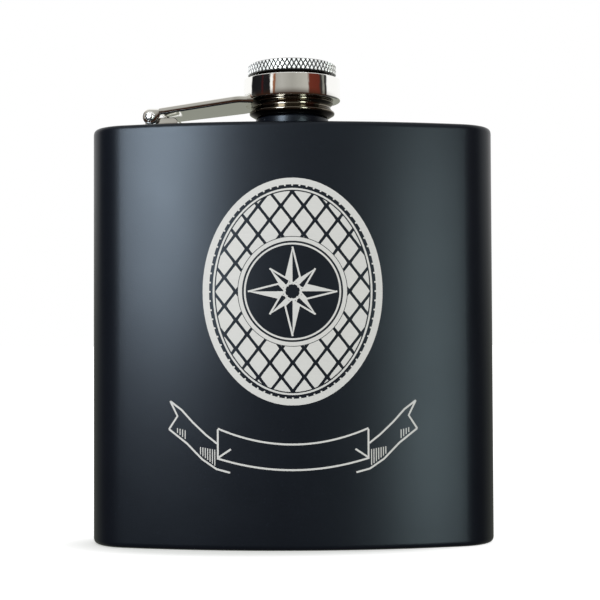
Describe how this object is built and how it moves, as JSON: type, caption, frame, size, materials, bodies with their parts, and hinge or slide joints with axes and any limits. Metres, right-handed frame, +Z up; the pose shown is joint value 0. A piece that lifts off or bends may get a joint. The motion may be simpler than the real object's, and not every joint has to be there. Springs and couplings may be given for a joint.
{
  "type": "hip flask",
  "caption": "Curved pocket hip flask with a threaded neck and a knurled screw cap held captive in the ring of a hinged arm.",
  "frame": {"origin": "the middle of the flask's footprint, on the plane it stands on", "axes": "+Z up through the neck, the convex front faces -Y, and the arm's hinge is towards -X"},
  "size_m": [0.095, 0.027, 0.1128],
  "materials": {
    "black_coating": "matte black powder coat on stainless steel",
    "polished_chrome": "mirror polished",
    "bare_steel": "bright rivet steel",
    "seal_silicone": "milky soft silicone"
  },
  "bodies": {
    "flask": {"body_wrap": "black_coating", "shoulder_plate": "black_coating", "base_plate": "black_coating", "neck_spout": "black_coating", "hinge_bracket": "polished_chrome", "hinge_pin": "bare_steel"},
    "arm": {"captive_arm": "polished_chrome"},
    "cap": {"cap_core": "polished_chrome", "knurled_crown": "polished_chrome", "cap_seal": "seal_silicone"}
  },
  "joints": [
    {"name": "arm_swing", "type": "hinge", "parent": "flask", "child": "arm", "pos_m": [-0.0325, 0.00184, 0.1004], "axis": [-0.1217, -0.9926, 0], "range_deg": [0, 170]},
    {"name": "cap_turn", "type": "hinge", "parent": "arm", "child": "cap", "pos_m": [0, -0.00215, 0.104], "axis": [0, 0, 1], "continuous": true}
  ]
}
